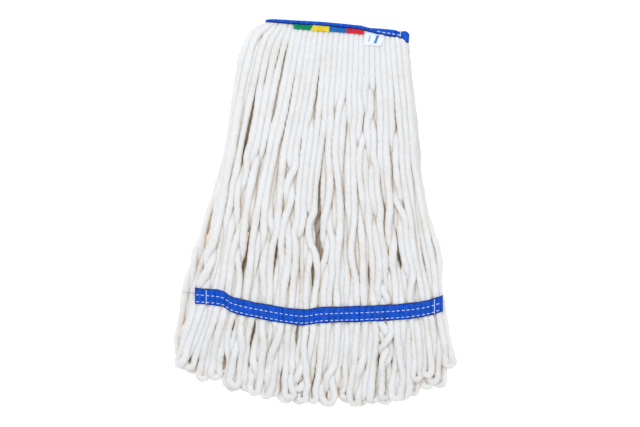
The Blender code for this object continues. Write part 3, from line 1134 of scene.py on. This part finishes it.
BAND_TAPE = 1.05 * MM
BAND_STEP = 0.42 * MM
BAND_RING = 64
BAND_MARGIN = 0.1 * MM
CORNER_SHARE = 0.8
CORNER_STEPS = 7
SMOOTH_OVER = 9
TIP_LENGTH = 3 * MM
TIP_SHRINK = 1.2 * MM
BAND_RIB_SHARE = 0.8
BAND_SEED = 907

# Waves of the band's outline: how high, and how long.
FLANGE_WAVES = (0.25 * MM, (0.04, 0.017))
SPINE_WAVES = (0.15 * MM, (0.04, 0.02))
FACE_WAVES = (0.2 * MM, (0.06, 0.023))

# The rounding of a flange's cut edge: how far in from the edge, and how far below the face.
FRONT_EDGE = ((0.0, 0.9 * MM), (0.4 * MM, 0.25 * MM), (0.7 * MM, 0.0))
BACK_EDGE = ((1.6 * MM, 0.0), (0.7 * MM, 0.25 * MM), (0.0, 0.9 * MM))


def band_section(front_y, back_y, half, corner, spine):
    """The tape's outer line at one place along the band, from the front edge round to the back one."""
    line = [(front_y + inward, half - below) for inward, below in FRONT_EDGE]
    turns = np.linspace(0, math.pi / 2, CORNER_STEPS)
    for way, angles in ((1, turns), (-1, turns[::-1])):
        for angle in angles:
            y = spine - corner + corner * math.sin(angle)
            z = half - corner + corner * math.cos(angle)
            line.append((y, way * z))
    line += [(back_y + inward, -half + below) for inward, below in BACK_EDGE]
    line = np.array(line)
    lengths = lengths_along(line)
    along = np.linspace(0, lengths[-1], BAND_RING)
    return np.stack([np.interp(along, lengths, line[:, k]) for k in (0, 1)], axis=1), lengths[-1]


def box_corners(name):
    return (np.array(corner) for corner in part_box(name))


def smoothed(line):
    reach = SMOOTH_OVER // 2
    return np.convolve(np.pad(line, reach, "edge"), np.ones(SMOOTH_OVER) / SMOOTH_OVER, "valid")


def make_headband(materials):
    low, high = box_corners("headband")
    rng = rng_for(BAND_SEED)
    xs = np.arange(low[0], high[0] + EAR_REACH, BAND_STEP)

    def outline(at, values, wave, lengths):
        line = np.interp(xs, np.array(at) * MM, np.array(values) * MM)
        return line + waves(rng, xs, wave, lengths)

    front = smoothed(outline(FLANGE_X, FLANGE_FRONT, *FLANGE_WAVES))
    back = outline(FLANGE_X, FLANGE_BACK, *FLANGE_WAVES)
    spine = smoothed(outline(SPINE_X, SPINE_Y, *SPINE_WAVES))
    half = high[2] - BAND_MARGIN + waves(rng, xs, *FACE_WAVES)
    half -= np.interp(xs, [low[0], low[0] + TIP_LENGTH], [TIP_SHRINK, 0])
    ribs = RIB_HEIGHT * BAND_RIB_SHARE * np.abs(np.sin(math.pi * xs / RIB))
    top, bottom, uvs, widths = [], [], [], []
    for index, x in enumerate(xs):
        corner = min(CORNER, CORNER_SHARE * (spine[index] - front[index]))
        ring, width = band_section(front[index], back[index], half[index], corner, spine[index])
        widths.append(width)
        tangent = np.gradient(ring, axis=0)
        tangent /= np.linalg.norm(tangent, axis=1)[:, None]
        normal = np.stack([-tangent[:, 1], tangent[:, 0]], axis=1)
        place = np.full(BAND_RING, x)
        top.append(np.column_stack([place, ring + normal * ribs[index]]))
        bottom.append(np.column_stack([place, ring - normal * BAND_TAPE]))
        uvs.append(np.column_stack([place, np.linspace(0, width, BAND_RING)]))
    top = np.array(top)
    band = slab("headband_tape", top, np.array(bottom), np.array(uvs), materials["band"])
    finish(band, "headband", "headband")
    make_band_stitches(xs, top, materials["thread"], rng)


# The headband's seams: the ring of the band that each follows, its ends, and where the front one sinks.
SEAM_RINGS = (("upper", 1, 6), ("lower", -1, BAND_RING - 12))
SEAM_PART = slice(10, -16)
SINK_AT = (41 * MM, 45 * MM)
SINK = 0.85 * MM

# The bar tacks: how far along the band, and how far each is lifted. The left one is sunk in the tape.
LEFT_TACK = 14
RIGHT_TACK_X = 70.6 * MM
TACK_RINGS = slice(3, 17)
TACK_LIFT = {"left": -0.9 * MM, "right": 0.1 * MM}
BAND_SEAM_START = 1 * MM
BAND_TACK_STITCH = (1.6 * MM, 0.15 * MM)


def make_band_stitches(xs, top, material, rng):
    rows = []
    for word, side, ring in SEAM_RINGS:
        line = top[:, ring]
        sink = np.interp(xs, SINK_AT, [SINK, 0.0]) if side > 0 else 0.0
        path = np.column_stack([line[:, :2], side * line[:, 2] - sink])[SEAM_PART]
        along = xs[SEAM_PART] - xs[SEAM_PART.start]
        stitches = stitch_row(path, along, rng, BAND_SEAM_START)
        rows.append((f"{word}_stitches", f"{word}_seam", side, stitches))
    for word, at in (("left", LEFT_TACK), ("right", int(np.searchsorted(xs, RIGHT_TACK_X)))):
        line = top[at, TACK_RINGS]
        lifted = line + np.array([0, 0, TACK_LIFT[word]])
        stitches = stitch_row(lifted, lengths_along(line), rng, TACK_START, *BAND_TACK_STITCH)
        rows.append((f"{word}_bar_tack", f"{word}_tack", 1, stitches))
    for name, node, side, stitches in rows:
        row = strands_mesh(f"headband_{name}", stitches, side, material)
        finish(row, "headband", f"headband_{node}")


# The crushed strands: points along each, and the shares of their room that they fill.
BIGHT_POINTS = 16
BIGHT_END = 0.2 * MM
BIGHT_BOW = 0.3 * MM
BIGHT_WIDTH = 0.97
BIGHT_DEPTH = 0.95
UV_START = 0.01
INNER_ROWS = 21
INNER_RIB_SHARE = 0.7
INNER_GAP = 0.15 * MM


def make_band_filling(materials):
    """The crushed strands inside the fold, and the tape behind them."""
    low, high = box_corners("yarn_bight")
    tubes = []
    centre_y = (low[1] + high[1]) / 2
    depth = (high[1] - low[1]) / 2
    pitch = (high[0] - low[0]) / LOOPS
    z = np.linspace(high[2] - BIGHT_END, low[2] + BIGHT_END, BIGHT_POINTS)
    bow = centre_y - BIGHT_BOW * (np.abs(z) / high[2]) ** 6
    turn = ring_angles(RING_POINTS)[None, :, None]
    across = np.cos(turn) * np.array([pitch / 2 * BIGHT_WIDTH, 0, 0])
    lift = np.sin(turn) * np.array([0, depth * BIGHT_DEPTH, 0])
    for index in range(LOOPS):
        x = low[0] + (index + 0.5) * pitch
        points = np.stack([np.full(BIGHT_POINTS, x), bow, z], axis=1)
        rings = points[:, None, :] + across + lift
        tubes.append((rings, UV_START + points[0, 2] - z))
    bight = tubes_mesh("bight_strands", tubes)
    bight.data.materials.append(materials["yarn"])
    finish(bight, "headband", "yarn_bight")
    low, high = box_corners("band_inner_tape")
    xs = np.arange(low[0], high[0], BAND_STEP)
    zs = np.linspace(low[2], high[2], INNER_ROWS)
    ribs = RIB_HEIGHT * INNER_RIB_SHARE * np.abs(np.sin(math.pi * xs / RIB))
    grid_x, grid_z = np.meshgrid(xs, zs, indexing="ij")
    face = np.full(grid_x.shape, high[1] - INNER_GAP) + ribs[:, None]
    top = np.dstack([grid_x, face, grid_z])
    bottom = np.dstack([grid_x, np.full(grid_x.shape, low[1]), grid_z])
    tape = slab("band_backing", top, bottom, np.dstack([grid_x, grid_z]), materials["webbing"])
    finish(tape, "headband", "band_inner_tape")


# ---- tabs and label ----

TAB_ROOT_Y = -2.9 * MM
TAB_THICKNESS = 0.55 * MM
TAB_PLY = 0.3 * MM
TAB_GAP = 0.12 * MM
TAB_OVERLAP = 0.6 * MM
TAB_GRID = 0.3 * MM
TAB_COARSE = 4
FOLD_STEPS = 9

# How far each tab leans at its left and right edge, and how high it lies, in mm.
TAB_SLANTS = {
    "green_tab": (0.0, 0.0),
    "yellow_tab": (2.6, 0.0),
    "blue_tab": (0.3, -0.4),
    "red_tab": (-1.2, 0.2),
    "care_label": (2.2, 6.0),
}
TAB_LIFT = {"green_tab": 0.0, "yellow_tab": 0.35, "blue_tab": 0.05, "red_tab": 0.3, "care_label": 0.15}

# A tab lies on the strands, at least as high as TAB_LEAST, and goes under the headband's tape.
LABEL_ROOT = 2.2 * MM
TAB_FLOOR = 9 * MM
TAB_LEAST = 11.8 * MM
TAB_CLEARANCE = 0.15 * MM
TUCK_START = 2.0 * MM
TUCK_LENGTH = 1.7 * MM
TUCK_DEPTH = 0.75 * MM
CURL_WAVE = 0.12 * MM
CURL_LENGTHS = (0.011, 0.006)
LABEL_CURL = 0.8 * MM
LABEL_PLY = 0.35


def tab_surface(name, tops, xs, ys, grid_x, grid_y):
    """How high a tab lies: on the strands below it, and under the headband's tape at its root."""
    coarse = slice(None, None, TAB_COARSE)
    height = tops.height(grid_x[coarse, coarse], grid_y[coarse, coarse], TAB_FLOOR)
    height = blur(blur(np.clip(height, TAB_LEAST, None), 0, 1), 1, 2)
    height = spread_rows(height.T, len(xs), TAB_COARSE).T
    height = spread_rows(height, len(ys), TAB_COARSE)
    tape_edge = np.interp(xs, np.array(FLANGE_X) * MM, np.array(FLANGE_FRONT) * MM)
    under = np.clip((grid_y - tape_edge[None, :] + TUCK_START) / TUCK_LENGTH, 0.0, 1.0)
    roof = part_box("headband")[1][2] - BAND_TAPE - TUCK_DEPTH
    surface = (height + TAB_LIFT[name] * MM + TAB_CLEARANCE) * (1 - under) + roof * under
    return blur(blur(surface, 0, 3), 1, 4)


def make_tab(name, tops, material, rng):
    low, high = box_corners(name)
    label = name == "care_label"
    ys = np.arange(TAB_ROOT_Y - (LABEL_ROOT if label else 0), low[1], -TAB_GRID)
    overlap = 0 if label else TAB_OVERLAP
    left, right = low[0] - overlap, high[0] + overlap
    xs = np.linspace(left, right, int((right - left) / TAB_GRID))
    grid_y, grid_x = np.meshgrid(ys, xs, indexing="ij")
    below = (grid_y - ys[0]) / (ys[-1] - ys[0])
    shift_left, shift_right = (value * MM for value in TAB_SLANTS[name])
    share = (grid_x - left) / (right - left)
    lean = 1 - 2 * below
    plan_x = grid_x + ((1 - share) * shift_left * lean + share * shift_right * lean) * 0.5
    surface = tab_surface(name, tops, xs, ys, grid_x, grid_y)
    curl = waves(rng, xs, CURL_WAVE, CURL_LENGTHS)[None, :] * below
    surface = surface + curl + (LABEL_CURL * below**3 * share**2 if label else 0)
    if label:
        upper = surface + TAB_THICKNESS * LABEL_PLY
        uvs = np.dstack([grid_x, grid_y - (low[1] + high[1]) / 2])
        layers = (np.dstack([plan_x, grid_y, upper]), np.dstack([plan_x, grid_y, surface]))
        length = ys[0] - ys[-1]
    else:
        layers, uvs, length = folded_ribbon(plan_x, grid_y, surface)
    piece = slab(name + "_ribbon", *layers, uvs, material)
    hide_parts(name)
    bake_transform(piece)


def folded_ribbon(plan_x, grid_y, surface):
    """A ribbon doubled under itself: over the top, round a soft fold, and back beneath."""
    lower = np.dstack([plan_x, grid_y, surface])
    rise = TAB_PLY * 2 + TAB_GAP
    upper = lower + np.array([0, 0, rise])
    turns = np.linspace(math.pi / 2, -math.pi / 2, FOLD_STEPS)[1:-1]
    edge = (lower[-1] + upper[-1]) / 2
    bend = [edge + np.array([0, -math.cos(t) * rise / 2, math.sin(t) * rise / 2]) for t in turns]
    outer = np.concatenate([upper, np.array(bend), lower[::-1]])
    facing = np.gradient(outer, axis=0)
    facing /= np.linalg.norm(facing, axis=2)[:, :, None]
    normal = np.cross(facing, np.array([1.0, 0, 0]))
    inner = outer - normal * np.sign(normal[0, 0, 2]) * TAB_PLY
    along = lengths_along(outer[:, 0])
    size = outer.shape[:2]
    uvs = np.dstack([np.broadcast_to(plan_x[0], size), np.broadcast_to(along[:, None], size)])
    return (outer, inner), uvs, along[-1]


TAB_COLOURS = {
    "green_tab": ((0.006, 0.23, 0.085), (0.004, 0.11, 0.045)),
    "yellow_tab": ((0.82, 0.55, 0.03), (0.5, 0.30, 0.01)),
    "blue_tab": ((0.012, 0.125, 0.38), (0.008, 0.06, 0.20)),
    "red_tab": ((0.62, 0.022, 0.03), (0.33, 0.01, 0.015)),
}


TAB_RIB = 0.6 * MM
TAB_SEED = 415


def make_tabs(chains):
    """The four colour tabs and the care label, on the front layer's strands."""
    tops = Tops(chains)
    rng = rng_for(TAB_SEED)
    for name, (colour, dark) in TAB_COLOURS.items():
        material = webbing_material(name + "_satin", colour, dark, TAB_RIB, ())
        make_tab(name, tops, material, rng)
    make_tab("care_label", tops, label_material(), rng)


# ---- studio ----

CAMERA_ROLL = math.radians(5)
CAMERA_LENS = 85
CAMERA_SENSOR = 36
VIEW_WIDTH = 0.704
AIM_SHIFT = 3.3 * MM
AIM_HEIGHT = 0.6
SKY = (0.90, 0.96, 1.10)
SKY_STRENGTH = 0.62
FLOOR_GLOW = 0.42
FLOOR_SIZE = 6
FLOOR_GAP = 0.4 * MM

# Name, place, size and power.
LAMPS = (
    ("key", (-0.45, 0.25, 1.2), 0.9, 8.5),
    ("fill", (0.7, -0.6, 1.1), 1.1, 4.0),
)


def make_studio():
    """A camera straight above, two soft lamps, a pale sky and a white floor."""
    low, high = Vector(cad_bounds[0]), Vector(cad_bounds[1])
    aim = Vector((0.0, (low.y + high.y) / 2 + AIM_SHIFT, high.z * AIM_HEIGHT))
    camera = bpy.data.cameras.new("camera")
    camera.lens = CAMERA_LENS
    camera.sensor_width = CAMERA_SENSOR
    view = new_object("camera", camera)
    view.location = aim + Vector((0, 0, VIEW_WIDTH / CAMERA_SENSOR * CAMERA_LENS))
    view.rotation_euler = (0, 0, CAMERA_ROLL)
    bpy.context.scene.camera = view
    world = bpy.data.worlds.new("studio")
    world.use_nodes = True
    background = world.node_tree.nodes["Background"]
    background.inputs["Color"].default_value = (*SKY, 1)
    background.inputs["Strength"].default_value = SKY_STRENGTH
    bpy.context.scene.world = world
    for name, place, size, power in LAMPS:
        light = bpy.data.lights.new(name, "AREA")
        light.size = size
        light.energy = power
        light.color = SKY
        lamp = new_object(name, light)
        lamp.location = place
        lamp.rotation_euler = (aim - Vector(place)).to_track_quat("-Z", "Y").to_euler()
    bpy.ops.mesh.primitive_plane_add(size=FLOOR_SIZE, location=(0, -0.2, low.z - FLOOR_GAP))
    floor = bpy.context.object
    floor.name = "floor"
    material, _, shader = new_material("floor", (0.93, 0.88, 0.82), 0.9)
    shader.inputs["Emission Color"].default_value = (1, 1, 1, 1)
    shader.inputs["Emission Strength"].default_value = FLOOR_GLOW
    floor.data.materials.append(material)
    bpy.context.scene.view_settings.view_transform = "Standard"


TAIL_BLUE = (0.004, 0.070, 0.42)
BAND_BLUE = (0.004, 0.075, 0.44)
DARK_BLUE = (0.002, 0.020, 0.15)
# The tapes' edges that take painted shade, in their maps, and how dark that painted shade is on the
# headband.
TAIL_SHADED_EDGES = (-8.8 * MM, 8.8 * MM)
BAND_SHADED_EDGES = (0.6 * MM,)
BAND_EDGE_SHADE_DEPTH = 0.55

make_studio()
MATERIALS = {
    "yarn": yarn_material(),
    "webbing": webbing_material("tail_webbing", TAIL_BLUE, DARK_BLUE, RIB, TAIL_SHADED_EDGES),
    "band": webbing_material("band_webbing", BAND_BLUE, DARK_BLUE, RIB, BAND_SHADED_EDGES, BAND_EDGE_SHADE_DEPTH),
    "thread": thread_material(),
}
LAYERS = {side: Layer(side) for side in (1, -1)}
CHAINS = {-1: lay_out(LAYERS[-1])}
CHAINS[1] = lay_out(LAYERS[1], CHAINS[-1])
for side in (1, -1):
    make_yarn(LAYERS[side], CHAINS[side], MATERIALS["yarn"])
    make_tail_band(LAYERS[side], CHAINS[side], MATERIALS)
make_headband(MATERIALS)
make_band_filling(MATERIALS)
make_tabs(CHAINS[1])
